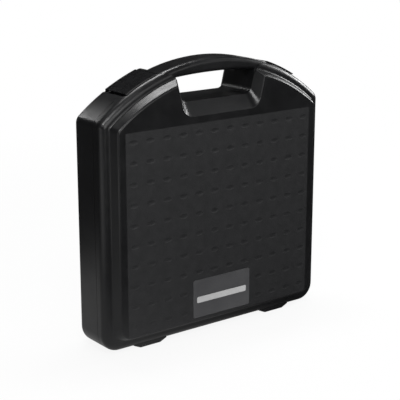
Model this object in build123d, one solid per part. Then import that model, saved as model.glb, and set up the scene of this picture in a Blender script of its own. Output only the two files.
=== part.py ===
# Hard carrying case for a hand-held label maker: two moulded shells hinged along the bottom,
# a hand opening through the crown, and one snap latch on each shoulder.
# Millimetres. +Z is up, the front of the case looks towards -Y, the feet stand on Z = 0.

from build123d import *
import math
import os

os.makedirs("parts", exist_ok=True)

# Overall sizes
body_width = 300.0        # side to side
body_depth = 52.0         # between the front and back shelf faces
crown_height = 305.4      # top of the handle above the body's underside
shoulder_height = 249.2   # where the side walls meet the shoulder arcs, which leave the crown tangent
foot_height = 3.5
wall = 2.5
edge_round = 8.0          # round between the side walls and the shelf faces

# Outline of the shells, seen from the front
crown_half = 46.0         # half the width of the flat arc over the handle
crown_drop = 4.6          # how much lower that arc's ends are
bottom_corner = 20.0
shoulder_corner = 11.0

# Raised panels on the front and the back
panel_rise = 10.0
panel_inset = 10.5        # from the body's outline to the foot of the panel
panel_draft = 5.0         # how much further in the panel's face starts
panel_corner = 7.0
panel_round = 3.0
panel_foot_round = 2.0

# Parting line between the two shells
parting_y = -12.0
parting_gap = 0.4
tongue_width = 0.9
tongue_height = 1.6
tongue_inset = 0.8
tongue_clearance = 0.15

# Hand opening and the handle bar above it
throat_half = 47.0        # half the width of the straight way through, at its floor
throat_floor = 261.5      # above the body's underside
throat_corner = 9.0
throat_lean = 14.0        # degrees that the sides open outwards as they rise
throat_flare = 18.0       # round between the sides and the shoulders, in front of and behind the bar
throat_lip = 1.0          # how far inside the shelf faces the dished sides end
rim_half = 50.5           # half the width where the dished sides meet the panel's face, at the floor
rim_floor = 247.0
rim_corner = 14.0
rim_round = 1.5
bar_front_y = -24.0
bar_rear_y = 10.0
bar_thickness = 15.4      # at the middle
bar_arch = 2.5            # how much the underside rises from its ends to its middle
bar_reach = 84.0          # how far the bar runs into the shoulders
bar_top_round = 6.0
bar_under_round = 4.0

# Feet moulded on both shells
foot_x = 89.0
foot_length = 42.0
foot_flat = 26.0
foot_width = 8.0
front_foot_y = -19.5
rear_foot_y = 16.0
foot_round = 1.5

# Bottom hinges
hinge_x = 89.0
hinge_span = 38.0
hinge_drop = 0.4          # axis below the body's underside
knuckle_radius = 2.8
knuckle_count = 5
knuckle_gap = 0.3
hinge_pin_radius = 1.25
pin_clearance = 0.05
hinge_pad_height = 3.0
hinge_pad_depth = 8.0

# Shoulder latches
latch_x = 95.0            # centre of each latch, from the middle of the case
latch_length = 42.0
latch_end_gap = 2.6
latch_proud = 1.4
latch_plate_under = -1.0
latch_flange = 1.6
latch_tab = 1.4           # how far the plate's front edge passes the recess
latch_tab_gap = 0.35      # between that edge and the shoulder
pivot_y = 17.0
pivot_depth = 4.0
barrel_radius = 2.8
latch_pin_radius = 1.25
latch_pin_bite = 4.0      # how far the pin runs into its boss at each end
pin_boss_radius = 3.2
recess_depth = 7.3
recess_front_gap = 1.8    # from the hook's leg to the front of the recess
recess_rear_gap = 4.6     # from the pivot's barrel to the back of the recess
hook_leg = 2.0
hook_lip = 1.2
hook_top = -4.0
hook_thickness = 1.0
hook_clearance = 0.4      # from the hook's leg to the catch's ledge
catch_wall = 1.8
catch_ledge = 1.2
catch_gap = 0.3
catch_end_gap = 0.6

# Badge on the front panel
badge_width = 80.0
badge_height = 44.0
badge_bottom = 19.5       # above the body's underside
badge_thickness = 1.0
badge_recess = 1.0
badge_corner = 2.5
badge_clearance = 0.2

# Moulded tray in the rear shell
tray_side_gap = 5.5       # from the shell's inner side walls
tray_bottom_gap = 7.5
tray_top_gap = 1.5        # below the hand opening's rim
tray_corner = 16.0
tray_set_back = 2.4       # behind the parting line
tray_skin = 1.6
pocket_draft = 3.0
pocket_floor_round = 4.0
boss_radius = 4.2
boss_left_edge = 11.0     # middles of the screw bosses, from the tray's edges
boss_right_edge = 4.5
boss_low_edge = 30.0
boss_high_edge = 23.0
screw_radius = 1.5
screw_head_radius = 3.0
screw_head_height = 2.0
screw_length = 14.0

# Pockets of the tray
maker_width = 118.0
maker_height = 212.0
maker_x = -58.0
maker_floor_gap = 3.5     # from the shell's inner back wall
scoop_width = 30.0
scoop_height = 34.0
scoop_depth = 16.0
adapter_height = 52.0
adapter_depth = 34.0
cassette_width = 54.0
cassette_height = 42.0
cassette_depth = 24.0
cassette_pitch_x = 60.0
cassette_pitch_z = 50.0
cassette_rows = 3
cassette_left_gap = 15.0  # from the maker's pocket
lowest_cassette_z = 106.0
channel_height = 15.0
channel_depth = 12.0

# Foam pad in the lid
pad_side_gap = 7.0        # from the inner walls of the raised panel
pad_bottom_gap = 4.0
pad_top_gap = 10.5        # below the hand opening's inner wall
pad_thickness = 13.0
pad_corner = 12.0
pad_gap = 0.3

# Places worked out from the sizes above
half_depth = body_depth / 2
panel_y = half_depth + panel_rise
base_z = foot_height
crown_z = base_z + crown_height
crown_radius = (crown_half ** 2 + crown_drop ** 2) / (2 * crown_drop)
crown_angle = math.asin(crown_half / crown_radius)
shoulder_run = body_width / 2 - crown_half
shoulder_fall = crown_height - crown_drop - shoulder_height
shoulder_radius = (shoulder_run ** 2 + shoulder_fall ** 2) / (
    2 * (shoulder_fall * math.cos(crown_angle) - shoulder_run * math.sin(crown_angle)))
crown_middle = (0, crown_z - crown_radius)
shoulder_middle = ((crown_radius - shoulder_radius) * math.sin(crown_angle),
                   crown_middle[1] + (crown_radius - shoulder_radius) * math.cos(crown_angle))
hinge_z = base_z - hinge_drop
above_all = crown_z + 30.0
lean = math.tan(math.radians(throat_lean))
lip_y = half_depth - throat_lip
dish_fall = (throat_floor - rim_floor) / (panel_y - lip_y)
dish_spread = (rim_half - throat_half) / (panel_y - lip_y) + dish_fall * lean
catch_root_y = parting_y - parting_gap / 2
hook_y = catch_root_y - catch_wall - catch_ledge - hook_clearance
recess_front_y = hook_y - hook_leg - recess_front_gap
recess_rear_y = pivot_y + barrel_radius + recess_rear_gap
latch_front_y = recess_front_y - latch_tab
tray_face_y = parting_y + tray_set_back
tray_half = body_width / 2 - wall - tray_side_gap
tray_bottom = wall + tray_bottom_gap
tray_top = rim_floor - wall - tray_top_gap
pad_half = body_width / 2 - panel_inset - panel_draft - wall - pad_side_gap
pad_bottom = panel_inset + panel_draft + wall + pad_bottom_gap
pad_top = rim_floor - wall - pad_top_gap



def front_plane(y):
    """A drawing plane seen from the front: its x is +X, its y is +Z, its normal is -Y."""
    return Plane(origin=(0, y, 0), x_dir=(1, 0, 0), z_dir=(0, -1, 0))


def slab(y_from, y_to):
    """Everything between two depths."""
    return Pos(0, (y_from + y_to) / 2, crown_z / 2) * Box(3 * body_width, y_to - y_from, 3 * crown_z)


def on_arc(middle, radius, angle):
    """A point on an arc, at an angle from straight up."""
    return (middle[0] + radius * math.sin(angle), middle[1] + radius * math.cos(angle))


def case_outline(inset, low_corner, high_corner):
    """The case seen from the front, drawn in from its outer outline by an inset."""
    half = body_width / 2 - inset
    low = base_z + inset
    crown, shoulder = crown_radius - inset, shoulder_radius - inset
    last = math.asin((half - shoulder_middle[0]) / shoulder)
    end = on_arc(shoulder_middle, shoulder, last)
    joint = on_arc(crown_middle, crown, crown_angle)
    slope = ThreePointArc(joint, on_arc(shoulder_middle, shoulder, (crown_angle + last) / 2), end)
    top = ThreePointArc((-joint[0], joint[1]), on_arc(crown_middle, crown, 0), joint)
    sides = Polyline(end, (half, low), (-half, low), (-end[0], end[1]))
    face = make_face([top, slope, mirror(slope, about=Plane.YZ), sides])
    corners = face.vertices().sort_by(Axis.Y)
    face = fillet(corners[0:2], low_corner)
    outer = face.vertices().filter_by(lambda v: abs(abs(v.X) - half) < 0.01).sort_by(Axis.Y)
    return fillet(outer[-2:], high_corner)


def notch_outline(side, floor, corner):
    """The hand opening's outline, open upwards. Its half width is given at the throat's floor."""
    low = base_z + floor
    low_half = side + (floor - throat_floor) * lean
    high_half = low_half + (above_all - low) * lean
    points = [(-low_half, low), (low_half, low), (high_half, above_all), (-high_half, above_all)]
    face = make_face(Polyline(*points, close=True))
    return fillet(face.vertices().sort_by(Axis.Y)[0:2], corner)


def throat(grow):
    """The straight way through, seen from the front, moved outwards by a growth."""
    return notch_outline(throat_half + grow * math.hypot(1, lean), throat_floor - grow, throat_corner + grow)


def notch(grow):
    """What the hand opening takes away: a dish from each side and the way through, open upwards."""
    sections = []
    for y, corner in ((lip_y - grow, throat_corner), (panel_y + 1, rim_corner)):
        side = throat_half + (y - lip_y) * dish_spread + grow * math.hypot(1, lean, dish_spread)
        floor = throat_floor - (y - lip_y) * dish_fall - grow * math.hypot(1, dish_fall)
        sections.append(front_plane(-y) * notch_outline(side, floor, corner + grow))
    dish = loft(sections, ruled=True)
    return dish + mirror(dish, about=Plane.XZ) + extrude(front_plane(0) * throat(grow), lip_y + 1, both=True)


def flares(inset):
    """What comes off the corners between the sides of the hand opening and the shoulders."""
    sharp = case_outline(inset, bottom_corner - inset, shoulder_corner - inset) - throat(inset)
    corners = sharp.vertices().sort_by(Axis.Y)[-2:]
    rounded = fillet(corners, throat_flare - inset)
    return extrude(front_plane(0) * (sharp - rounded), panel_y, both=True)


def bar_edges(bar, inset, from_z, to_z):
    """The bar's long edges on its front and rear faces, between two heights."""
    return bar.edges().filter_by(
        lambda e: min(abs(e.center().Y - bar_front_y - inset), abs(e.center().Y - bar_rear_y + inset)) < 0.01
        and abs(e.tangent_at(0.5).Z) < 0.7 and from_z < e.center().Z < to_z)


def handle_bar(inset):
    """The arched bar over the hand opening, with its roots in the shoulders, drawn in by an inset."""
    under_top = crown_z - bar_thickness
    span_half = throat_half + (under_top - base_z - throat_floor) * lean
    under_radius = (span_half ** 2 + bar_arch ** 2) / (2 * bar_arch)
    hand_hole = throat(inset) & Pos(0, under_top - under_radius) * Circle(under_radius + inset)
    band = case_outline(inset, bottom_corner - inset, shoulder_corner - inset) - hand_hole
    band &= Pos(0, crown_z) * Rectangle(2 * bar_reach, 4 * bar_thickness)
    bar = extrude(front_plane(bar_rear_y - inset) * band, bar_rear_y - bar_front_y - 2 * inset)
    between = under_top + inset + 1
    bar = fillet(bar_edges(bar, inset, between, above_all), bar_top_round - inset)
    return fillet(bar_edges(bar, inset, under_top - bar_thickness, between), bar_under_round - inset)


def same_edges(solid, edges):
    """The solid's edges that lie where the given ones do."""
    return solid.edges().filter_by(lambda e: any((e.center() - g.center()).length < 0.01 for g in edges))


def case_form(inset):
    """The closed case as one solid, drawn in by an inset: 0 is the outside, a wall is the hollow."""
    outline = case_outline(inset, bottom_corner - inset, shoulder_corner - inset)
    block = extrude(front_plane(0) * outline, half_depth - inset, both=True)
    rims = block.edges().filter_by(lambda e: abs(abs(e.center().Y) - half_depth + inset) < 0.01)
    block = fillet(rims, edge_round - inset)
    foot = front_plane(inset - half_depth) * case_outline(
        panel_inset + inset, bottom_corner - panel_inset / 2, panel_corner)
    face = front_plane(inset - panel_y) * case_outline(
        panel_inset + panel_draft + inset, bottom_corner - panel_inset / 2, panel_corner)
    panel = loft([foot, face], ruled=True)
    panel = fillet(panel.edges().filter_by(lambda e: abs(e.center().Y + panel_y - inset) < 0.01), panel_round)
    form = block + panel + mirror(panel, about=Plane.XZ)
    form = fillet(same_edges(form, foot.edges() + mirror(foot, about=Plane.XZ).edges()), panel_foot_round + inset)
    return form - notch(inset) - flares(inset) + handle_bar(inset)


def round_rim(form):
    """Rounds the edge where the dished sides of the hand opening meet the raised panels."""
    widest = rim_half + (crown_height - rim_floor) * lean
    rim = form.edges().filter_by(
        lambda e: abs(abs(e.center().Y) - panel_y) < 0.01 and abs(e.center().X) < widest
        and e.center().Z > base_z + rim_floor - 1)
    return fillet(rim, rim_round)


def shoulder_frame():
    """Stands on the right shoulder at the latch: x down the slope, y to the back, z outwards."""
    angle = math.asin((latch_x - shoulder_middle[0]) / shoulder_radius)
    point = on_arc(shoulder_middle, shoulder_radius, angle)
    return Plane(origin=(point[0], 0, point[1]), x_dir=(math.cos(angle), 0, -math.sin(angle)),
                 z_dir=(math.sin(angle), 0, math.cos(angle)))


def both_sides(solid):
    return [solid, mirror(solid, about=Plane.YZ)]


def latch_recesses(grow):
    """The pockets that the two latches lie in. Grown, they run on to the shelf faces."""
    half = latch_length / 2 + latch_end_gap + grow
    front = recess_front_y if grow == 0 else -body_depth
    rear = recess_rear_y if grow == 0 else body_depth
    depth = recess_depth + grow
    block = Pos(0, (front + rear) / 2, 10 - depth / 2) * Box(2 * half, rear - front, 20 + depth)
    if grow == 0:
        block = fillet(block.edges().filter_by(Axis.Z), 2.0)
    return both_sides(shoulder_frame().location * block)


def along_pivot(radius, length):
    """A cylinder on the latch's pivot axis, in the shoulder's frame."""
    return Pos(0, pivot_y, -pivot_depth) * Rot(0, 90, 0) * Cylinder(radius, length)


def pin_bosses(outside):
    """Bosses inside the rear shell that take the ends of the latch pins."""
    half = latch_length / 2 + latch_end_gap
    bosses = []
    for end in (1, -1):
        middle = end * (half + latch_pin_bite / 2 + 0.5)
        boss = Pos(middle, 0, 0) * along_pivot(pin_boss_radius, latch_pin_bite + 1)
        bosses += both_sides(shoulder_frame().location * boss)
    return [boss & outside for boss in bosses]


def latch_pin_bores():
    length = latch_length + 2 * (latch_end_gap + latch_pin_bite)
    return both_sides(shoulder_frame().location * along_pivot(latch_pin_radius + pin_clearance, length))


def catch():
    """The rib and ledge in the lid's part of the recess that the latch's hook snaps under."""
    root = catch_root_y
    ledge_top = hook_top + catch_gap + hook_thickness
    tip = root - catch_wall - catch_ledge
    outline = Polyline((root, -recess_depth - 1), (root - catch_wall, -recess_depth - 1),
                       (root - catch_wall, hook_top + catch_gap), (tip, hook_top + catch_gap),
                       (tip, ledge_top - 0.5), (tip + 0.5, ledge_top), (root, ledge_top), close=True)
    half = latch_length / 2 - latch_flange - catch_end_gap
    rib = extrude(Plane.YZ * make_face(outline), half, both=True)
    return both_sides(shoulder_frame().location * rib)


def foot(y):
    """A low block with ramped ends, moulded under a shell."""
    root = base_z + wall * 0.95
    points = [(-foot_length / 2, root), (-foot_length / 2, base_z), (-foot_flat / 2, 0),
              (foot_flat / 2, 0), (foot_length / 2, base_z), (foot_length / 2, root)]
    block = extrude(front_plane(y) * make_face(Polyline(*points, close=True)), foot_width / 2, both=True)
    low = block.edges().filter_by(lambda e: e.center().Z < base_z * 0.75)
    return Pos(foot_x, 0, 0) * fillet(low, foot_round)


def knuckle_centres(first):
    """Middles of every second knuckle of the right hinge: 0 for the base's, 1 for the lid's."""
    pitch = (hinge_span + knuckle_gap) / knuckle_count
    start = hinge_x - hinge_span / 2 + (pitch - knuckle_gap) / 2
    return [start + i * pitch for i in range(first, knuckle_count, 2)]


def hinge_rods(first, radius, extra):
    """Cylinders on the hinge axis for one shell's knuckles, on both hinges."""
    length = (hinge_span + knuckle_gap) / knuckle_count - knuckle_gap + 2 * extra
    rods = []
    for x in knuckle_centres(first):
        rods += both_sides(Pos(x, parting_y, hinge_z) * Rot(0, 90, 0) * Cylinder(radius, length))
    return rods


def hinge_bores():
    bore = Rot(0, 90, 0) * Cylinder(hinge_pin_radius + pin_clearance, hinge_span + 2)
    return both_sides(Pos(hinge_x, parting_y, hinge_z) * bore)


def hinge_pads(direction):
    """Ribs inside a shell that back the wall where the knuckles bite into it."""
    near = parting_y + direction * parting_gap / 2
    height = hinge_pad_height + 0.1
    middle_z = base_z + wall - 0.1 + height / 2
    pad = Box(hinge_span + 6, hinge_pad_depth, height)
    return both_sides(Pos(hinge_x, near + direction * hinge_pad_depth / 2, middle_z) * pad)


def seam_ring(narrow, height, grow):
    """The band that the tongue of the rear shell fills, or the slightly larger groove for it."""
    outer = tongue_inset - narrow
    inner = tongue_inset + tongue_width + narrow
    band = case_outline(outer, bottom_corner, shoulder_corner)
    band -= case_outline(inner, bottom_corner, shoulder_corner)
    root = parting_y + parting_gap / 2 + 0.2
    ring = extrude(front_plane(root) * band, parting_gap + 0.2 + height)
    ring -= notch(wall + grow)
    ring -= latch_recesses(wall + grow)
    return ring & Pos(0, parting_y, base_z + bottom_corner + above_all) * Box(
        2 * body_width, 2 * body_depth, 2 * above_all - 2 * grow)


def tray_boss_places():
    """Middles of the six screw bosses: two rows, at the tray's edges and between its pockets."""
    between = maker_x + (maker_width + cassette_left_gap) / 2
    columns = (boss_left_edge - tray_half, between, tray_half - boss_right_edge)
    return [(x, z) for x in columns for z in (tray_bottom + boss_low_edge, tray_top - boss_high_edge)]


def screw_hole(x, z, radius, from_y, to_y):
    """A cylinder from front to back at one of the tray's screws."""
    return extrude(front_plane(to_y) * (Pos(x, base_z + z) * Circle(radius)), to_y - from_y)


def build_shells():
    outside = round_rim(case_form(0))
    skin = outside - latch_recesses(0) - (case_form(wall) - latch_recesses(wall))

    rear = skin & slab(parting_y + parting_gap / 2, body_depth)
    rear += pin_bosses(outside)
    rear += both_sides(foot(rear_foot_y))
    rear += hinge_pads(1)
    rear += hinge_rods(0, knuckle_radius, 0)
    rear += seam_ring(0, tongue_height, tongue_clearance)
    rear -= hinge_rods(1, knuckle_radius + knuckle_gap, knuckle_gap)
    rear -= hinge_bores()
    rear -= latch_pin_bores()
    boss_face = tray_face_y + tray_skin
    for x, z in tray_boss_places():
        rear += screw_hole(x, z, boss_radius, boss_face, panel_y) & outside
        rear -= screw_hole(x, z, screw_radius + pin_clearance, boss_face - 1, boss_face + screw_length)

    front = skin & slab(-body_depth, parting_y - parting_gap / 2)
    front += catch()
    front += both_sides(foot(front_foot_y))
    front += hinge_pads(-1)
    front += hinge_rods(1, knuckle_radius, 0)
    front -= hinge_rods(0, knuckle_radius + knuckle_gap, knuckle_gap)
    front -= hinge_bores()
    front -= seam_ring(tongue_clearance, tongue_height + tongue_clearance, 0)
    front -= badge_block(badge_clearance, panel_y + 1, badge_recess + 1)
    return rear, front


def badge_block(grow, from_y, depth):
    """A rounded plate in the badge's place on the front panel, from a depth backwards."""
    plate = RectangleRounded(badge_width + 2 * grow, badge_height + 2 * grow, badge_corner + grow)
    middle = base_z + badge_bottom + badge_height / 2
    return extrude(front_plane(depth - from_y) * (Pos(0, middle) * plate), depth)


def build_latch():
    """The right latch, closed: a plate that turns on its pin and hooks under the lid's catch."""
    leg_front = hook_y - hook_leg
    lip_back = hook_y + hook_lip
    under = latch_plate_under
    top = latch_proud + 1
    profile = Polyline(
        (latch_front_y, under), (latch_front_y + 1, top), (pivot_y + 1, top), (pivot_y + barrel_radius, -2),
        (pivot_y + barrel_radius, -pivot_depth), (pivot_y - barrel_radius, -pivot_depth),
        (pivot_y - barrel_radius - 1, under), (hook_y + 1, under), (hook_y, under - 1),
        (hook_y, hook_top), (lip_back, hook_top), (lip_back, hook_top - 0.4),
        (hook_y + 0.2, hook_top - hook_thickness), (leg_front, hook_top - hook_thickness),
        (leg_front, under), close=True)
    plate = extrude(Plane.YZ * make_face(profile), latch_length / 2, both=True)
    barrel = along_pivot(barrel_radius, latch_length)
    flange = Box(latch_flange, pivot_y - hook_y, pivot_depth)
    flange_middle = Pos(0, (pivot_y + hook_y) / 2, under + 0.8 - pivot_depth / 2)
    flanges = [Pos(end * (latch_length - latch_flange) / 2, 0, 0) * flange_middle * flange for end in (1, -1)]
    latch = plate + barrel + flanges - along_pivot(latch_pin_radius + pin_clearance, latch_length + 2)
    latch = shoulder_frame().location * latch
    cover = case_outline(-latch_proud, bottom_corner, shoulder_corner + latch_proud)
    latch &= extrude(front_plane(0) * cover, body_depth, both=True)
    under_tab = case_outline(-latch_tab_gap, bottom_corner, shoulder_corner + latch_tab_gap)
    return latch - extrude(front_plane(leg_front) * under_tab, body_depth)


def build_latch_pin():
    length = latch_length + 2 * (latch_end_gap + latch_pin_bite) - 0.6
    return shoulder_frame().location * along_pivot(latch_pin_radius, length)


def build_hinge_pin():
    pin = Rot(0, 90, 0) * Cylinder(hinge_pin_radius, hinge_span)
    pin = chamfer(pin.edges(), 0.3)
    return Pos(hinge_x, parting_y, hinge_z) * pin


def tray_pockets():
    """Each pocket: middle across, middle above the underside, width, height, corner, depth."""
    middle_z = (tray_bottom + tray_top) / 2
    maker_depth = panel_y - wall - maker_floor_gap - tray_skin - tray_face_y
    left_x = maker_x + maker_width / 2 + cassette_left_gap + cassette_width / 2
    middle_x = left_x + cassette_pitch_x / 2
    adapter_z = lowest_cassette_z - cassette_height / 2 - adapter_height / 2 - 12
    pockets = [
        (maker_x, middle_z, maker_width, maker_height, 14.0, maker_depth),
        (maker_x - maker_width / 2, middle_z, scoop_width, scoop_height, 12.0, scoop_depth),
        (middle_x, adapter_z, cassette_pitch_x + cassette_width + 2, adapter_height, 10.0, adapter_depth),
    ]
    for row in range(cassette_rows):
        row_z = lowest_cassette_z + row * cassette_pitch_z
        pockets.append((middle_x, row_z, 2 * cassette_width, channel_height, 5.0, channel_depth))
        for x in (left_x, left_x + cassette_pitch_x):
            pockets.append((x, row_z, cassette_width, cassette_height, 5.0, cassette_depth))
    return pockets


def tray_pocket(x, z, width, height, corner, depth, skin):
    """A drafted pocket. With a skin it is the pocket's outer wall."""
    mouth = Pos(x, base_z + z) * RectangleRounded(width + 2 * skin, height + 2 * skin, corner + skin)
    cup = extrude(front_plane(tray_face_y) * mouth, -(depth + skin), taper=pocket_draft)
    floor = cup.faces().sort_by(Axis.Y)[-1]
    return fillet(floor.edges(), min(pocket_floor_round, corner * 0.6) + skin)


def build_tray():
    middle = base_z + (tray_bottom + tray_top) / 2
    sheet = RectangleRounded(2 * tray_half, tray_top - tray_bottom, tray_corner)
    tray = extrude(front_plane(tray_face_y) * (Pos(0, middle) * sheet), -tray_skin)
    pockets = tray_pockets()
    for pocket in pockets:
        tray += tray_pocket(*pocket, tray_skin)
    for pocket in pockets:
        tray -= tray_pocket(*pocket, 0)
    for x, z in tray_boss_places():
        tray -= screw_hole(x, z, screw_radius + 0.3, tray_face_y - 1, tray_face_y + tray_skin + 1)
    return tray


def build_tray_screws():
    screws = []
    for x, z in tray_boss_places():
        head = Cylinder(screw_head_radius, screw_head_height)
        head = fillet(head.edges().sort_by(Axis.Z)[-1], screw_head_height * 0.6)
        head -= Pos(0, 0, screw_head_height / 2) * Box(3.2, 0.8, 1.6)
        head -= Pos(0, 0, screw_head_height / 2) * Box(0.8, 3.2, 1.6)
        shank = Pos(0, 0, -(screw_head_height + screw_length) / 2) * Cylinder(screw_radius, screw_length)
        place = front_plane(tray_face_y - screw_head_height / 2).location * Pos(x, base_z + z, 0)
        screws.append(place * (head + shank))
    return Compound(screws)


def build_pad():
    middle = base_z + (pad_bottom + pad_top) / 2
    sheet = Pos(0, middle) * RectangleRounded(2 * pad_half, pad_top - pad_bottom, pad_corner)
    back = panel_y - wall - pad_gap
    return extrude(front_plane(pad_thickness - back) * sheet, pad_thickness)


def build_case():
    rear, front = build_shells()
    latch, latch_pin, hinge_pin = build_latch(), build_latch_pin(), build_hinge_pin()
    pieces = {
        "rear_shell": rear,
        "front_shell": front,
        "inner_tray": build_tray(),
        "tray_screws": build_tray_screws(),
        "lid_pad": build_pad(),
        "badge_plate": badge_block(0, panel_y - badge_recess + badge_thickness, badge_thickness),
    }
    for name, piece in (("latch", latch), ("latch_pin", latch_pin), ("hinge_pin", hinge_pin)):
        pieces["right_" + name], pieces["left_" + name] = both_sides(piece)
    return pieces


for node, piece in build_case().items():
    export_step(piece, "parts/" + node + ".step")
    print(node, len(piece.solids()), "solid", round(piece.volume / 1000, 1), "cm3")
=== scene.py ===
import bpy
import bmesh
import math
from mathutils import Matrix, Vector


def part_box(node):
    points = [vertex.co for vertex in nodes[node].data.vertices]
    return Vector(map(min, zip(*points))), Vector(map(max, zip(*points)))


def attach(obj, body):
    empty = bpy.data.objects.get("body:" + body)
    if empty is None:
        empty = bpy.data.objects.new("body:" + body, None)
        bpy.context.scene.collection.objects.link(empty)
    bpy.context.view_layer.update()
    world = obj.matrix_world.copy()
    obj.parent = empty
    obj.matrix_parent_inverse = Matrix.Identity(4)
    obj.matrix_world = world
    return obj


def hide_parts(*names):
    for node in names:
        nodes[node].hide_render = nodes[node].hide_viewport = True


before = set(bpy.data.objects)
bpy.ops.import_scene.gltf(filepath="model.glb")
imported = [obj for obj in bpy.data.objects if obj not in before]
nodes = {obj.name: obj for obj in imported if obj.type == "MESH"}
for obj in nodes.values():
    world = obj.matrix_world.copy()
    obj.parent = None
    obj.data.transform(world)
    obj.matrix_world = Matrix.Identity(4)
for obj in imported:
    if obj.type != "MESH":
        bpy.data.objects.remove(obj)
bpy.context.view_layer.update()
scene = bpy.context.scene
print("frame loaded:", len(nodes), "nodes")

# Camera and framing, in metres
view = {
    "place": (-0.75266, -0.97901, 0.47814),
    "towards": (0.587, 0.767, -0.2605),
    "focalPixels": 1137.0,      # for a picture 400 pixels wide
    "framePixels": 400.0,
    "sensor": 36.0,
}


def addCamera():
    data = bpy.data.cameras.new("camera")
    data.sensor_fit = "HORIZONTAL"
    data.sensor_width = view["sensor"]
    data.lens = view["focalPixels"] / view["framePixels"] * view["sensor"]
    camera = bpy.data.objects.new("camera", data)
    camera.location = view["place"]
    camera.rotation_euler = Vector(view["towards"]).to_track_quat("-Z", "Y").to_euler()
    scene.collection.objects.link(camera)
    scene.camera = camera


addCamera()
scene.view_settings.view_transform = "Standard"


# Small helpers for node materials
def newMaterial(name):
    material = bpy.data.materials.new(name)
    material.use_nodes = True
    tree = material.node_tree
    shader = next(n for n in tree.nodes if n.type == "BSDF_PRINCIPLED")
    coordinates = tree.nodes.new("ShaderNodeTexCoord")
    return material, tree, shader, coordinates


def noiseFrom(tree, coordinates, scale, detail=4.0, stretch=(1.0, 1.0, 1.0)):
    mapping = tree.nodes.new("ShaderNodeMapping")
    mapping.inputs["Scale"].default_value = stretch
    tree.links.new(coordinates.outputs["Object"], mapping.inputs["Vector"])
    noise = tree.nodes.new("ShaderNodeTexNoise")
    noise.inputs["Scale"].default_value = scale
    noise.inputs["Detail"].default_value = detail
    tree.links.new(mapping.outputs["Vector"], noise.inputs["Vector"])
    return noise


def rampFrom(tree, source, stops):
    ramp = tree.nodes.new("ShaderNodeValToRGB")
    ramp.color_ramp.elements[0].position = stops[0][0]
    ramp.color_ramp.elements[1].position = stops[-1][0]
    for place, _ in stops[1:-1]:
        ramp.color_ramp.elements.new(place)
    for element, (_, colour) in zip(ramp.color_ramp.elements, stops):
        element.color = colour if len(colour) == 4 else (*colour, 1.0)
    tree.links.new(source, ramp.inputs["Fac"])
    return ramp


def grey(level):
    return (level, level, level, 1.0)


def bumpFrom(tree, heights, distance, strength=1.0, before=None):
    bump = tree.nodes.new("ShaderNodeBump")
    bump.inputs["Distance"].default_value = distance
    bump.inputs["Strength"].default_value = strength
    tree.links.new(heights, bump.inputs["Height"])
    if before:
        tree.links.new(before.outputs["Normal"], bump.inputs["Normal"])
    return bump


# Moulded black plastic of the shells, latches and tray
shellFinish = {
    "dark": (0.0042, 0.0043, 0.0048),
    "light": (0.0066, 0.0068, 0.0076),
    "smooth": 0.28,
    "rough": 0.37,
    "grainScale": 1500.0,
    "grainDepth": 0.000012,
    "cloudScale": 18.0,
    "scuffsPerCloud": 4,
    "refraction": 1.5,
}
colourStops = (0.35, 0.65)      # of a noise, where its dark and light ends lie
glossStops = (0.3, 0.7)

# The spark-grained field on both raised panels, in which the dashes are smoother and painted darker as
# shade of their recesses
field = {
    "halfWidth": 0.1265,
    "low": 0.0150,
    "high": 0.2430,
    "edge": 0.0012,
    "skin": 0.00012,            # what lies deeper than this behind the panel's face is grained less, and painted darker as shade
    "inDashSmoothAndPaintedShade": 0.75,
    "dark": (0.0106, 0.0108, 0.0118),
    "light": (0.0145, 0.0147, 0.0159),
    "smooth": 0.52,
    "rough": 0.62,
    "grainScale": 900.0,
    "grainDepth": 0.00012,
    "mottlesPerCloud": 6,
}


def mathNode(tree, operation, first, second):
    node = tree.nodes.new("ShaderNodeMath")
    node.operation = operation
    for socket, value in zip(node.inputs, (first, second)):
        if isinstance(value, float):
            socket.default_value = value
        else:
            tree.links.new(value, socket)
    return node.outputs[0]


def stepDown(tree, value, limit, width, lowest=0.0):
    # 1 below the limit and the lowest value above it
    fade = tree.nodes.new("ShaderNodeMapRange")
    numbers = {"From Min": limit - width, "From Max": limit, "To Min": 1.0, "To Max": lowest}
    for socket, number in numbers.items():
        fade.inputs[socket].default_value = number
    tree.links.new(value, fade.inputs["Value"])
    return fade.outputs["Result"]


def fieldMask(tree, coordinates, panelY):
    split = tree.nodes.new("ShaderNodeSeparateXYZ")
    tree.links.new(coordinates.outputs["Object"], split.inputs[0])
    sideways = mathNode(tree, "ABSOLUTE", split.outputs["X"], 0.0)
    downwards = mathNode(tree, "MULTIPLY", split.outputs["Z"], -1.0)
    outwards = mathNode(tree, "ABSOLUTE", split.outputs["Y"], 0.0)
    depth = mathNode(tree, "SUBTRACT", abs(panelY), outwards)
    mask = stepDown(tree, sideways, field["halfWidth"], field["edge"])
    # The last step lowers the mask in the dashes: they are grained less and smoother there, and their
    # colour is painted darker as shade
    for part in (stepDown(tree, split.outputs["Z"], field["high"], field["edge"]),
                 stepDown(tree, downwards, -field["low"], field["edge"]),
                 stepDown(tree, depth, 2 * field["skin"], field["skin"], field["inDashSmoothAndPaintedShade"])):
        mask = mathNode(tree, "MULTIPLY", mask, part)
    return mask


def blendColours(tree, mask, first, second):
    mix = tree.nodes.new("ShaderNodeMix")
    mix.data_type = "RGBA"
    tree.links.new(mask, mix.inputs["Factor"])
    colours = [socket for socket in mix.inputs if socket.type == "RGBA"]
    tree.links.new(first, colours[0])
    tree.links.new(second, colours[1])
    return next(socket for socket in mix.outputs if socket.type == "RGBA")


def twoStops(tree, source, stops, low, high):
    return rampFrom(tree, source, [(stops[0], low), (stops[1], high)]).outputs["Color"]


def tintFrom(tree, coordinates, scale, detail, stops, low, high):
    return twoStops(tree, noiseFrom(tree, coordinates, scale, detail).outputs["Fac"], stops, low, high)


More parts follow.
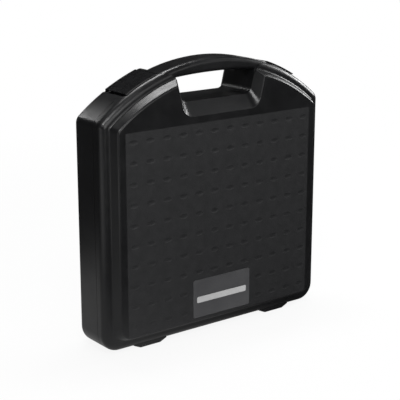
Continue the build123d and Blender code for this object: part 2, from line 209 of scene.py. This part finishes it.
def mouldedPlastic(name, finish, panelY=None):
    material, tree, shader, coordinates = newMaterial(name)
    cloudScale = finish["cloudScale"]
    colour = tintFrom(tree, coordinates, cloudScale, 5.0, colourStops, finish["dark"], finish["light"])
    gloss = tintFrom(tree, coordinates, cloudScale * finish["scuffsPerCloud"], 6.0, glossStops,
                     grey(finish["smooth"]), grey(finish["rough"]))
    grain = noiseFrom(tree, coordinates, finish["grainScale"], 2.0)
    bump = bumpFrom(tree, grain.outputs["Fac"], finish["grainDepth"])
    if panelY is not None:
        mask = fieldMask(tree, coordinates, panelY)
        mottle = tintFrom(tree, coordinates, cloudScale * field["mottlesPerCloud"], 8.0, colourStops,
                          field["dark"], field["light"])
        # In the dashes the colour leans to the darker shell colour: painted shade of the recesses
        colour = blendColours(tree, mask, colour, mottle)
        coarse = noiseFrom(tree, coordinates, field["grainScale"], 3.0).outputs["Fac"]
        matt = twoStops(tree, coarse, glossStops, grey(field["smooth"]), grey(field["rough"]))
        gloss = blendColours(tree, mask, gloss, matt)
        bump = bumpFrom(tree, mathNode(tree, "MULTIPLY", coarse, mask), field["grainDepth"], before=bump)
    tree.links.new(colour, shader.inputs["Base Color"])
    tree.links.new(gloss, shader.inputs["Roughness"])
    tree.links.new(bump.outputs["Normal"], shader.inputs["Normal"])
    shader.inputs["IOR"].default_value = finish["refraction"]
    return material


latchFinish = {**shellFinish, "smooth": 0.24, "rough": 0.32, "cloudScale": 40.0}
trayFinish = {
    **shellFinish,
    "dark": (0.026, 0.027, 0.030), "light": (0.036, 0.037, 0.041),
    "smooth": 0.42, "rough": 0.56,
}
badgeFinish = {
    **shellFinish,
    "dark": (0.052, 0.052, 0.055), "light": (0.070, 0.070, 0.073),
    "smooth": 0.3, "rough": 0.4,
}
barFinish = {**badgeFinish, "dark": (0.425, 0.425, 0.425), "light": (0.50, 0.50, 0.50)}

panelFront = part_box("front_shell")[0].y
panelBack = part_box("rear_shell")[1].y
lidPlastic = mouldedPlastic("lid plastic", shellFinish, panelFront)
basePlastic = mouldedPlastic("base plastic", shellFinish, panelBack)
latchPlastic = mouldedPlastic("latch plastic", latchFinish)
trayPlastic = mouldedPlastic("tray sheet", trayFinish)
badgePlastic = mouldedPlastic("badge plate", badgeFinish)
barPlastic = mouldedPlastic("badge bar", barFinish)

# Screws and pins
steelFinish = {
    "zinc": (0.50, 0.50, 0.51),
    "zincRough": 0.35,
    "pin": (0.55, 0.55, 0.56),
    "pinRough": 0.28,
    "streakScale": 900.0,
    "streakStretch": (1.0, 0.05, 1.0),
    "streakShade": 0.75,
    "streakDepth": 0.00002,
}


def brushedSteel(name, colour, rough):
    material, tree, shader, coordinates = newMaterial(name)
    streaks = noiseFrom(tree, coordinates, steelFinish["streakScale"], 3.0, steelFinish["streakStretch"])
    dark = tuple(c * steelFinish["streakShade"] for c in colour)
    tint = twoStops(tree, streaks.outputs["Fac"], glossStops, dark, colour)
    tree.links.new(tint, shader.inputs["Base Color"])
    shader.inputs["Metallic"].default_value = 1.0
    shader.inputs["Roughness"].default_value = rough
    bump = bumpFrom(tree, streaks.outputs["Fac"], steelFinish["streakDepth"])
    tree.links.new(bump.outputs["Normal"], shader.inputs["Normal"])
    return material


zincSteel = brushedSteel("zinc screw", steelFinish["zinc"], steelFinish["zincRough"])
pinSteel = brushedSteel("pin steel", steelFinish["pin"], steelFinish["pinRough"])
print("hard materials made")

foamFinish = {
    "dark": (0.040, 0.041, 0.045),
    "light": (0.062, 0.063, 0.068),
    "cloudScale": 60.0,
    "cellScale": 900.0,
    "cellDepth": 0.0006,
    "shader": {"Roughness": 0.95, "Sheen Weight": 0.25, "Sheen Roughness": 0.5},
}


def foamMaterial():
    material, tree, shader, coordinates = newMaterial("charcoal foam")
    cells = tree.nodes.new("ShaderNodeTexVoronoi")
    cells.inputs["Scale"].default_value = foamFinish["cellScale"]
    tree.links.new(coordinates.outputs["Object"], cells.inputs["Vector"])
    colour = tintFrom(tree, coordinates, foamFinish["cloudScale"], 5.0, glossStops,
                      foamFinish["dark"], foamFinish["light"])
    tree.links.new(colour, shader.inputs["Base Color"])
    bump = bumpFrom(tree, cells.outputs["Distance"], foamFinish["cellDepth"])
    tree.links.new(bump.outputs["Normal"], shader.inputs["Normal"])
    for socket, value in foamFinish["shader"].items():
        shader.inputs[socket].default_value = value
    return material


charcoalFoam = foamMaterial()

# Mesh helpers
meshing = {
    "weld": 1e-6,
    "shellAngle": 32,           # in degrees: sharper edges stay sharp
    "foamAngle": 60,
}


def linkPiece(name, mesh, material):
    piece = bpy.data.objects.new(name, mesh)
    scene.collection.objects.link(piece)
    if material:
        mesh.materials.clear()
        mesh.materials.append(material)
    return piece


def plainMesh(piece):
    shape = piece.evaluated_get(bpy.context.evaluated_depsgraph_get())
    return bpy.data.meshes.new_from_object(shape)


def smoothByAngle(mesh, degrees, panelY=None):
    # The rims of the dashes in a flat panel stay sharp, however shallow they are
    def onPanel(face):
        return all(abs(corner.co.y - panelY) < meshing["weld"] for corner in face.verts)

    def inField(point):
        return abs(point.x) < field["halfWidth"] and field["low"] < point.z < field["high"]

    shape = bmesh.new()
    shape.from_mesh(mesh)
    for edge in shape.edges:
        edge.smooth = len(edge.link_faces) == 2 and edge.calc_face_angle(0.0) < math.radians(degrees)
        if panelY is not None and edge.smooth and inField(edge.verts[0].co):
            if onPanel(edge.link_faces[0]) != onPanel(edge.link_faces[1]):
                edge.smooth = False
    for face in shape.faces:
        face.smooth = True
    shape.to_mesh(mesh)
    shape.free()


def weighNormals(piece):
    # Large faces lead, so that slivers beside them leave no marks in the highlights
    weigh = piece.modifiers.new("weigh", "WEIGHTED_NORMAL")
    weigh.keep_sharp = True
    mesh = plainMesh(piece)
    piece.modifiers.remove(weigh)
    piece.data = mesh


# Rows of shallow dashes pressed into both raised panels
dashes = {
    "columns": 12,              # across
    "rows": 10,
    "pitchAcross": 0.0212,
    "pitchUp": 0.0223,
    "halfLength": 0.0066,
    "halfHeight": 0.0031,
    "depth": 0.0004,
    "standOff": 0.0003,         # the dash's middle lies this far outside the panel
    "lowestRow": 0.0280,        # above the underside of the case
    "underside": 0.0035,
    "clearOfBadge": 0.004,
    "segments": 16,
    "rings": 8,
}


def dashTree():
    tree = bpy.data.node_groups.new("dashField", "GeometryNodeTree")
    face = tree.interface
    face.new_socket("Geometry", in_out="OUTPUT", socket_type="NodeSocketGeometry")
    inputs = {}
    for name, kind in (("Columns", "Int"), ("Rows", "Int"), ("Pitch Across", "Float"),
                       ("Pitch Up", "Float"), ("Half Size", "Vector"), ("Middle", "Vector"),
                       ("Keep Clear Low", "Vector"), ("Keep Clear High", "Vector"),
                       ("Material", "Material")):
        inputs[name] = face.new_socket(name, in_out="INPUT", socket_type="NodeSocket" + kind).identifier
    new, link = tree.nodes.new, tree.links.new
    given = new("NodeGroupInput").outputs
    grid = new("GeometryNodeMeshGrid")
    for count, pitch, size, vertices in (("Columns", "Pitch Across", "Size X", "Vertices X"),
                                         ("Rows", "Pitch Up", "Size Y", "Vertices Y")):
        steps = new("ShaderNodeMath")
        steps.operation = "SUBTRACT"
        steps.inputs[1].default_value = 1
        link(given[count], steps.inputs[0])
        length = new("ShaderNodeMath")
        length.operation = "MULTIPLY"
        link(steps.outputs[0], length.inputs[0])
        link(given[pitch], length.inputs[1])
        link(length.outputs[0], grid.inputs[size])
        link(given[count], grid.inputs[vertices])
    stand = new("GeometryNodeTransform")
    stand.inputs["Rotation"].default_value = (math.radians(90), 0, 0)
    link(grid.outputs["Mesh"], stand.inputs["Geometry"])
    link(given["Middle"], stand.inputs["Translation"])
    points = new("GeometryNodeMeshToPoints")
    link(stand.outputs["Geometry"], points.inputs["Mesh"])
    place = new("GeometryNodeInputPosition")
    split = new("ShaderNodeSeparateXYZ")
    link(place.outputs[0], split.inputs[0])
    inside = None
    for bound, operation in (("Keep Clear Low", "GREATER_THAN"), ("Keep Clear High", "LESS_THAN")):
        limit = new("ShaderNodeSeparateXYZ")
        link(given[bound], limit.inputs[0])
        for axis in ("X", "Z"):
            compare = new("ShaderNodeMath")
            compare.operation = operation
            link(split.outputs[axis], compare.inputs[0])
            link(limit.outputs[axis], compare.inputs[1])
            if inside:
                both = new("ShaderNodeMath")
                both.operation = "MULTIPLY"
                link(inside, both.inputs[0])
                link(compare.outputs[0], both.inputs[1])
                inside = both.outputs[0]
            else:
                inside = compare.outputs[0]
    clear = new("GeometryNodeDeleteGeometry")
    clear.domain = "POINT"
    link(points.outputs[0], clear.inputs["Geometry"])
    link(inside, clear.inputs["Selection"])
    bead = new("GeometryNodeMeshUVSphere")
    bead.inputs["Segments"].default_value = dashes["segments"]
    bead.inputs["Rings"].default_value = dashes["rings"]
    bead.inputs["Radius"].default_value = 1.0
    turned = new("GeometryNodeTransform")
    turned.inputs["Rotation"].default_value = (math.radians(90), 0, 0)
    link(bead.outputs["Mesh"], turned.inputs["Geometry"])
    scaled = new("GeometryNodeTransform")
    link(turned.outputs["Geometry"], scaled.inputs["Geometry"])
    link(given["Half Size"], scaled.inputs["Scale"])
    copies = new("GeometryNodeInstanceOnPoints")
    link(clear.outputs["Geometry"], copies.inputs["Points"])
    link(scaled.outputs["Geometry"], copies.inputs["Instance"])
    real = new("GeometryNodeRealizeInstances")
    link(copies.outputs["Instances"], real.inputs["Geometry"])
    finish = new("GeometryNodeSetMaterial")
    link(real.outputs["Geometry"], finish.inputs["Geometry"])
    link(given["Material"], finish.inputs["Material"])
    link(finish.outputs["Geometry"], new("NodeGroupOutput").inputs["Geometry"])
    return tree, inputs


dashNodes, dashInputs = dashTree()


def dashCutter(name, panelY, material, clear):
    carrier = linkPiece(name, bpy.data.meshes.new(name), None)
    modifier = carrier.modifiers.new("dashes", "NODES")
    modifier.node_group = dashNodes
    middleUp = dashes["underside"] + dashes["lowestRow"] + (dashes["rows"] - 1) / 2 * dashes["pitchUp"]
    outward = math.copysign(dashes["standOff"], panelY)
    values = {
        "Columns": dashes["columns"], "Rows": dashes["rows"],
        "Pitch Across": dashes["pitchAcross"], "Pitch Up": dashes["pitchUp"],
        "Half Size": (dashes["halfLength"], dashes["depth"] + dashes["standOff"], dashes["halfHeight"]),
        "Middle": (0.0, panelY + outward, middleUp),
        "Keep Clear Low": clear[0], "Keep Clear High": clear[1], "Material": material,
    }
    for title, value in values.items():
        modifier[dashInputs[title]] = value
    mesh = plainMesh(carrier)
    carrier.modifiers.remove(modifier)
    carrier.data = mesh
    return carrier


def pressedShell(name, node, panelY, body, material, clear):
    mesh = nodes[node].data.copy()
    shape = bmesh.new()
    shape.from_mesh(mesh)
    bmesh.ops.remove_doubles(shape, verts=shape.verts, dist=meshing["weld"])
    shape.to_mesh(mesh)
    shape.free()
    shell = linkPiece(name, mesh, material)
    cutter = dashCutter(name + "Dashes", panelY, material, clear)
    cut = shell.modifiers.new("cut", "BOOLEAN")
    cut.operation = "DIFFERENCE"
    cut.solver = "EXACT"
    cut.object = cutter
    mesh = plainMesh(shell)
    shell.modifiers.remove(cut)
    shell.data = mesh
    mesh.materials.clear()
    mesh.materials.append(material)
    bpy.data.objects.remove(cutter)
    smoothByAngle(mesh, meshing["shellAngle"], panelY)
    weighNormals(shell)
    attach(shell, body)
    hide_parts(node)
    return shell


badgeLow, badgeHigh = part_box("badge_plate")
margin = dashes["clearOfBadge"]
margin = Vector((dashes["halfLength"] + margin, 0, dashes["halfHeight"] + margin))
roundBadge = (badgeLow - margin, badgeHigh + margin)
nowhere = (Vector(), Vector())
lidShell = pressedShell("lidShell", "front_shell", panelFront, "lid", lidPlastic, roundBadge)
baseShell = pressedShell("baseShell", "rear_shell", panelBack, "base", basePlastic, nowhere)
print("panels pressed:", len(lidShell.data.polygons), len(baseShell.data.polygons))

# Carried-over pieces
for name, material in (("inner_tray", trayPlastic), ("tray_screws", zincSteel),
                       ("badge_plate", badgePlastic),
                       ("right_latch", latchPlastic), ("left_latch", latchPlastic),
                       ("right_latch_pin", pinSteel), ("left_latch_pin", pinSteel),
                       ("right_hinge_pin", pinSteel), ("left_hinge_pin", pinSteel)):
    nodes[name].data.materials.clear()
    nodes[name].data.materials.append(material)

# Pale blank bar across the badge
bar = {
    "width": 0.070,
    "height": 0.0072,
    "up": 0.0205,               # its middle, above the badge's lower edge
    "rise": 0.00005,
    "corner": 0.0016,
    "cornerSteps": 5,
    "chamfer": 0.0002,
}


def badgeBar():
    mesh = bpy.data.meshes.new("badgeBar")
    shape = bmesh.new()
    halfX, halfZ, corner = bar["width"] / 2, bar["height"] / 2, bar["corner"]
    front, back = badgeLow.y - bar["rise"], badgeLow.y + bar["rise"]
    middleX = (badgeLow.x + badgeHigh.x) / 2
    loops = []
    for y, shrink in ((back, 0.0), (front, bar["chamfer"])):
        loop = []
        for signX, signZ, start in ((1, 1, 0), (-1, 1, 90), (-1, -1, 180), (1, -1, 270)):
            for step in range(bar["cornerSteps"] + 1):
                angle = math.radians(start + 90 * step / bar["cornerSteps"])
                reach = corner - shrink
                loop.append(shape.verts.new((
                    middleX + signX * (halfX - corner) + reach * math.cos(angle), y,
                    badgeLow.z + bar["up"] + signZ * (halfZ - corner) + reach * math.sin(angle))))
        loops.append(loop)
    count = len(loops[0])
    for i in range(count):
        k = (i + 1) % count
        shape.faces.new((loops[0][i], loops[0][k], loops[1][k], loops[1][i]))
    shape.faces.new(loops[1])
    shape.faces.new(list(reversed(loops[0])))
    bmesh.ops.recalc_face_normals(shape, faces=shape.faces)
    shape.to_mesh(mesh)
    shape.free()
    piece = linkPiece("badgeBar", mesh, barPlastic)
    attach(piece, "lid")
    return piece


badgeBar()

# Convoluted foam glued inside the lid
foam = {
    "step": 0.0025,
    "pitch": 0.025,
    "valley": 0.0075,
    "corner": 0.012,
    "edgeRound": 0.004,
    "clearance": 0.0004,
}


def foamPad():
    low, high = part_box("lid_pad")
    middle = (low + high) / 2
    halfX = (high.x - low.x) / 2 - foam["clearance"]
    halfZ = (high.z - low.z) / 2 - foam["clearance"]
    across = round(2 * halfX / foam["step"])
    up = round(2 * halfZ / foam["step"])
    corner = foam["corner"]
    shape = bmesh.new()

    def rounded(x, z):
        dx, dz = abs(x) - (halfX - corner), abs(z) - (halfZ - corner)
        if dx <= 0 or dz <= 0:
            return x, z
        scale = max(dx, dz) / math.hypot(dx, dz)
        reachX, reachZ = halfX - corner + dx * scale, halfZ - corner + dz * scale
        return math.copysign(reachX, x), math.copysign(reachZ, z)

    def height(x, z, edge):
        wave = math.cos(2 * math.pi * x / foam["pitch"]) * math.cos(2 * math.pi * z / foam["pitch"])
        fall = foam["valley"] * (0.5 - 0.5 * wave)
        near = min(1.0, edge / foam["edgeRound"])
        roll = foam["edgeRound"] * (1 - math.sqrt(1 - (1 - near) ** 2))
        return high.y - foam["clearance"] - max(fall * near, roll)

    rows = []
    for j in range(up + 1):
        row = []
        for i in range(across + 1):
            x = -halfX + 2 * halfX * i / across
            z = -halfZ + 2 * halfZ * j / up
            edge = min(halfX - abs(x), halfZ - abs(z))
            rx, rz = rounded(x, z)
            row.append(shape.verts.new((middle.x + rx, height(x, z, edge), middle.z + rz)))
        rows.append(row)
    for j in range(up):
        for i in range(across):
            shape.faces.new((rows[j][i], rows[j][i + 1], rows[j + 1][i + 1], rows[j + 1][i]))
    rim = ([rows[0][i] for i in range(across)] + [rows[j][across] for j in range(up)]
           + [rows[up][i] for i in range(across, 0, -1)] + [rows[j][0] for j in range(up, 0, -1)])
    back = [shape.verts.new((v.co.x, low.y + foam["clearance"], v.co.z)) for v in rim]
    for i in range(len(rim)):
        k = (i + 1) % len(rim)
        shape.faces.new((rim[i], rim[k], back[k], back[i]))
    shape.faces.new(back)
    bmesh.ops.recalc_face_normals(shape, faces=shape.faces)
    mesh = bpy.data.meshes.new("lidFoam")
    shape.to_mesh(mesh)
    shape.free()
    smoothByAngle(mesh, meshing["foamAngle"])
    piece = linkPiece("lidFoam", mesh, charcoalFoam)
    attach(piece, "lid")
    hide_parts("lid_pad")
    return piece


foamPad()
print("foam made")

# Floor, world and lamps
studio = {
    "floorHalf": 6.0,
    "floorColour": (0.86, 0.86, 0.86),
    "whiteShare": (0.90, 1.0),  # of the floor the camera sees, near and far; the rest holds the shadow
    "whiteReach": (0.35, 1.2),
    "dimFloor": 0.05,           # how bright the floor is in reflections, away from the patches below
    "patches": [
        # middle, full and faded out at these distances, added brightness
        ((-0.20, 0.06, 0.0), (0.13, 0.35), 0.42),
        ((-0.80, -0.46, 0.0), (0.20, 0.62), 0.85),
    ],
    "world": {"fill": 0.14, "mirrored": 0.025},
    "aim": (0.0, 0.0, 0.15),
    "lamps": {
        # place, width, height, watts
        "overhead": ((0.12, 0.27, 1.70), 0.7, 0.28, 13.0),
        "corner": ((-0.34, 1.46, 1.02), 0.3, 0.3, 2.2),
        "frontLeft": ((-0.73, -1.04, 1.33), 0.5, 0.5, 12.0),
        "front": ((0.0, -1.70, 0.60), 0.9, 0.9, 8.0),
        "right": ((1.60, -0.08, 0.72), 0.5, 0.5, 13.0),
        "rightBack": ((1.46, 0.92, 0.65), 0.5, 0.5, 3.0),
        "lowLeft": ((-1.60, -0.60, 0.30), 0.5, 0.5, 1.2),
        "rim": ((1.00, -0.65, 1.30), 0.4, 0.4, 0.4),
        "frontRight": ((0.90, -1.40, 0.76), 0.6, 0.6, 1.2),
    },
}


def emission(tree, strength):
    light = tree.nodes.new("ShaderNodeEmission")
    light.inputs["Color"].default_value = (1.0, 1.0, 1.0, 1.0)
    light.inputs["Strength"].default_value = strength
    return light


def addFloor():
    half = studio["floorHalf"]
    mesh = bpy.data.meshes.new("floor")
    corners = [(-half, -half, 0), (half, -half, 0), (half, half, 0), (-half, half, 0)]
    mesh.from_pydata(corners, [], [(0, 1, 2, 3)])
    material = bpy.data.materials.new("pale floor")
    material.use_nodes = True
    tree = material.node_tree
    tree.nodes.clear()
    output = tree.nodes.new("ShaderNodeOutputMaterial")
    rays = tree.nodes.new("ShaderNodeLightPath")
    matt = tree.nodes.new("ShaderNodeBsdfDiffuse")
    matt.inputs["Color"].default_value = (*studio["floorColour"], 1.0)
    coordinates = tree.nodes.new("ShaderNodeTexCoord")

    def fadeOut(middle, reach, levels):
        away = tree.nodes.new("ShaderNodeVectorMath")
        away.operation = "DISTANCE"
        away.inputs[1].default_value = middle
        tree.links.new(coordinates.outputs["Object"], away.inputs[0])
        fade = tree.nodes.new("ShaderNodeMapRange")
        fade.interpolation_type = "SMOOTHSTEP"
        for socket, value in zip(("From Min", "From Max", "To Min", "To Max"), reach + levels):
            fade.inputs[socket].default_value = value
        tree.links.new(away.outputs["Value"], fade.inputs["Value"])
        return fade.outputs["Result"]

    clear = mathNode(tree, "MAXIMUM", rays.outputs["Is Camera Ray"], rays.outputs["Is Transmission Ray"])
    white = fadeOut((0.0, 0.0, 0.0), studio["whiteReach"], studio["whiteShare"])
    seen = tree.nodes.new("ShaderNodeMixShader")
    tree.links.new(mathNode(tree, "MULTIPLY", clear, white), seen.inputs["Fac"])
    tree.links.new(matt.outputs[0], seen.inputs[1])
    tree.links.new(emission(tree, 1.0).outputs[0], seen.inputs[2])
    # In reflections the sheet is dim but for two patches of light, beside the case and in front of it
    brightness = None
    for middle, reach, level in studio["patches"]:
        patch = fadeOut(middle, reach, (level, 0.0))
        brightness = mathNode(tree, "ADD", patch, brightness if brightness else studio["dimFloor"])
    glow = emission(tree, 1.0)
    tree.links.new(brightness, glow.inputs["Strength"])
    mirrored = tree.nodes.new("ShaderNodeMixShader")
    tree.links.new(rays.outputs["Is Glossy Ray"], mirrored.inputs["Fac"])
    tree.links.new(seen.outputs[0], mirrored.inputs[1])
    tree.links.new(glow.outputs[0], mirrored.inputs[2])
    tree.links.new(mirrored.outputs[0], output.inputs["Surface"])
    linkPiece("floor", mesh, material)


def addWorld():
    world = bpy.data.worlds.new("studio")
    scene.world = world
    world.use_nodes = True
    tree = world.node_tree
    background = next(n for n in tree.nodes if n.type == "BACKGROUND")
    background.inputs["Color"].default_value = (1.0, 1.0, 1.0, 1.0)
    rays = tree.nodes.new("ShaderNodeLightPath")
    clear = mathNode(tree, "MAXIMUM", rays.outputs["Is Camera Ray"], rays.outputs["Is Transmission Ray"])
    spread = tree.nodes.new("ShaderNodeMapRange")
    spread.inputs["To Max"].default_value = 1.0
    tree.links.new(clear, spread.inputs["Value"])
    dim = tree.nodes.new("ShaderNodeMapRange")
    dim.inputs["To Min"].default_value = studio["world"]["fill"]
    dim.inputs["To Max"].default_value = studio["world"]["mirrored"]
    tree.links.new(rays.outputs["Is Glossy Ray"], dim.inputs["Value"])
    tree.links.new(dim.outputs["Result"], spread.inputs["To Min"])
    tree.links.new(spread.outputs["Result"], background.inputs["Strength"])


def addLamps():
    for name, (place, width, height, watts) in studio["lamps"].items():
        data = bpy.data.lights.new(name, "AREA")
        data.shape = "RECTANGLE"
        data.size = width
        data.size_y = height
        data.energy = watts
        lamp = bpy.data.objects.new(name, data)
        lamp.location = place
        lamp.rotation_euler = (Vector(studio["aim"]) - Vector(place)).to_track_quat("-Z", "Y").to_euler()
        scene.collection.objects.link(lamp)


addFloor()
addWorld()
addLamps()
print("studio made")
